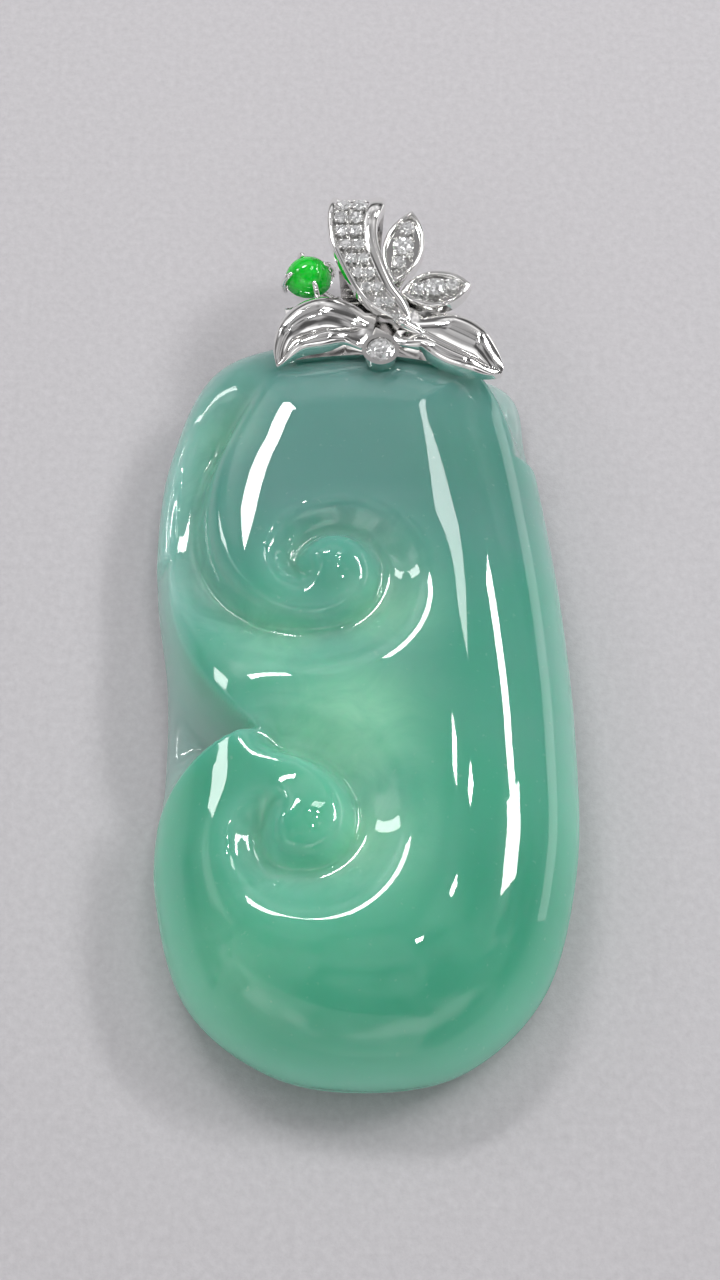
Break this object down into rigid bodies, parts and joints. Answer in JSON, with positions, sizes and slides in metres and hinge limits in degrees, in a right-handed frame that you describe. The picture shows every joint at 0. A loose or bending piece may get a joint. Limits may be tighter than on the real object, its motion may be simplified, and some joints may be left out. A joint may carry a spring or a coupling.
{
  "type": "ruyi pendant",
  "caption": "Carved translucent green stone pendant with two ruyi cloud scrolls, in a white metal cap with leaves, stone-set bail band, buds and a green berry.",
  "frame": {"origin": "middle of the carved stone's flat back, on the surface that the pendant lies on", "axes": "+X to the viewer's right, +Y along the stone towards the bail, +Z out of the carved face"},
  "size_m": [0.0277, 0.0637, 0.0105],
  "materials": {
    "jade": "polished",
    "white_gold": "polished",
    "clear_stones": "polished",
    "green_cabochon": "polished",
    "cement": "satin"
  },
  "bodies": {
    "root": {"jade_stone": "jade", "cap": "white_gold", "cap_pins": "white_gold", "pin_cement": "cement", "left_leaf": "white_gold", "right_leaf": "white_gold", "bail": "white_gold", "bail_stones": "clear_stones", "collar": "white_gold", "collar_stone": "clear_stones", "upper_bud_frame": "white_gold", "upper_bud_stones": "clear_stones", "side_bud_frame": "white_gold", "side_bud_stones": "clear_stones", "cabochon_cup": "white_gold", "cabochon_prongs": "white_gold", "green_cabochon": "green_cabochon", "berry_wires": "white_gold"}
  },
  "joints": []
}
